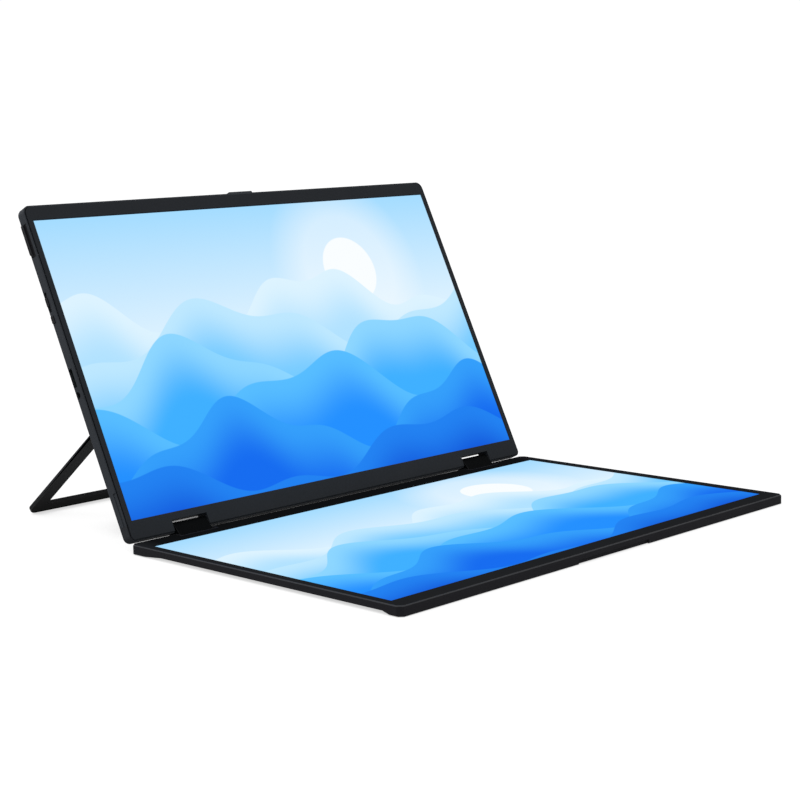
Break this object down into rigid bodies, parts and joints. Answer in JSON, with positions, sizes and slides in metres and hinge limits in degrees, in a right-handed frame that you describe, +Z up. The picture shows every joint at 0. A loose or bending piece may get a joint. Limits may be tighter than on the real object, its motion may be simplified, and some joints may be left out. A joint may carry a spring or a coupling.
{
  "type": "dual-screen portable monitor",
  "caption": "Two hinged portable screens in dark shells, the lower flat on the table and the upper leaning on a folding U-shaped stand.",
  "frame": {"origin": "on the table under the middle of the lower display's rear foot strip", "axes": "+Z up, X along the hinge edge (left screen edge at -X), the user sits towards -Y"},
  "size_m": [0.357, 0.3633, 0.2028],
  "materials": {
    "screen_glass": "smooth picture surface",
    "light_guide": "clear sheet with a white reflector",
    "bezel_plastic": "fine matte black",
    "cover_shell": "satin dark grey",
    "knuckle_plastic": "matte black",
    "support_aluminium": "pressed sheet",
    "circuit_board": "solder mask",
    "component_plastic": "moulded",
    "cable_jacket": "flexible jacket",
    "rubber": "matte",
    "stand_metal": "dark anodised",
    "key_plastic": "satin",
    "port_steel": "plated",
    "screw_steel": "blackened",
    "hinge_steel": "ground"
  },
  "bodies": {
    "lower_display": {"lower_backlight_unit": "light_guide", "lower_bezel": "bezel_plastic", "lower_bracket_screws": "screw_steel", "lower_cover_screws": "screw_steel", "lower_driver_board": "circuit_board", "lower_front_foot": "rubber", "lower_hinge_bracket_left": "hinge_steel", "lower_hinge_bracket_right": "hinge_steel", "lower_hinge_pin_left": "hinge_steel", "lower_hinge_pin_right": "hinge_steel", "lower_lcd_cell": "screen_glass", "lower_link_cable": "cable_jacket", "lower_rear_cover": "cover_shell", "lower_rear_foot": "rubber"},
    "hinge_links": {"hinge_friction_sleeves_left": "hinge_steel", "hinge_friction_sleeves_right": "hinge_steel", "hinge_knuckle_left": "knuckle_plastic", "hinge_knuckle_right": "knuckle_plastic"},
    "upper_display": {"audio_jack": "component_plastic", "hdmi_receptacle": "port_steel", "hinge_cover_screws": "screw_steel", "jog_switch": "component_plastic", "main_board": "circuit_board", "main_board_chips": "component_plastic", "main_board_screws": "screw_steel", "power_switch": "component_plastic", "rocker_axle": "hinge_steel", "rocker_switches": "component_plastic", "side_board": "circuit_board", "side_board_cable": "cable_jacket", "stand_block_screws": "screw_steel", "stand_hinge_blocks_left": "hinge_steel", "stand_hinge_blocks_right": "hinge_steel", "stand_hinge_pin_left": "hinge_steel", "stand_hinge_pin_right": "hinge_steel", "upper_backlight_unit": "light_guide", "upper_bezel": "bezel_plastic", "upper_bracket_screws": "screw_steel", "upper_hinge_bracket_left": "hinge_steel", "upper_hinge_bracket_right": "hinge_steel", "upper_hinge_cover": "cover_shell", "upper_hinge_pin_left": "hinge_steel", "upper_hinge_pin_right": "hinge_steel", "upper_lcd_cell": "screen_glass", "upper_link_cable": "cable_jacket", "upper_rear_cover": "cover_shell", "upper_support_plate": "support_aluminium", "usb_board": "circuit_board", "usb_board_cable": "cable_jacket", "usb_c_receptacles": "port_steel"},
    "stand": {"stand_frame": "stand_metal", "stand_foot_strip": "rubber"},
    "power_button_cap": {"power_button": "key_plastic"},
    "menu_key": {"menu_jog_key": "key_plastic"},
    "rocker": {"rocker_key": "key_plastic"}
  },
  "joints": [
    {"name": "fold_lower", "type": "hinge", "parent": "lower_display", "child": "hinge_links", "pos_m": [0, 0.00762, 0.0031], "axis": [-1, 0, 0], "range_deg": [-57.82, 32.18]},
    {"name": "fold_upper", "type": "hinge", "parent": "hinge_links", "child": "upper_display", "pos_m": [0, 0.01473, 0.00757], "axis": [-1, 0, 0], "range_deg": [-57.82, 32.18]},
    {"name": "stand_swing", "type": "hinge", "parent": "upper_display", "child": "stand", "pos_m": [0, 0.05323, 0.08038], "axis": [-1, 0, 0], "range_deg": [-102.89, 17]},
    {"name": "power_press", "type": "slide", "parent": "upper_display", "child": "power_button_cap", "axis": [1, 0, 0], "range_m": [0, 0.0004], "stiffness_N_per_m": 5000, "springref_m": -0.0001},
    {"name": "menu_slide", "type": "slide", "parent": "upper_display", "child": "menu_key", "axis": [0, 0.4328, 0.9015], "range_m": [-0.0012, 0.0012], "stiffness_N_per_m": 1500},
    {"name": "rocker_tilt", "type": "hinge", "parent": "upper_display", "child": "rocker", "pos_m": [-0.17525, 0.09897, 0.18038], "axis": [0, 0.9015, -0.4328], "range_deg": [-2.5, 2.5], "stiffness_Nm_per_rad": 0.4}
  ],
  "couplings": [
    {"joint": "fold_lower", "follows": "fold_upper", "ratio": 1}
  ]
}
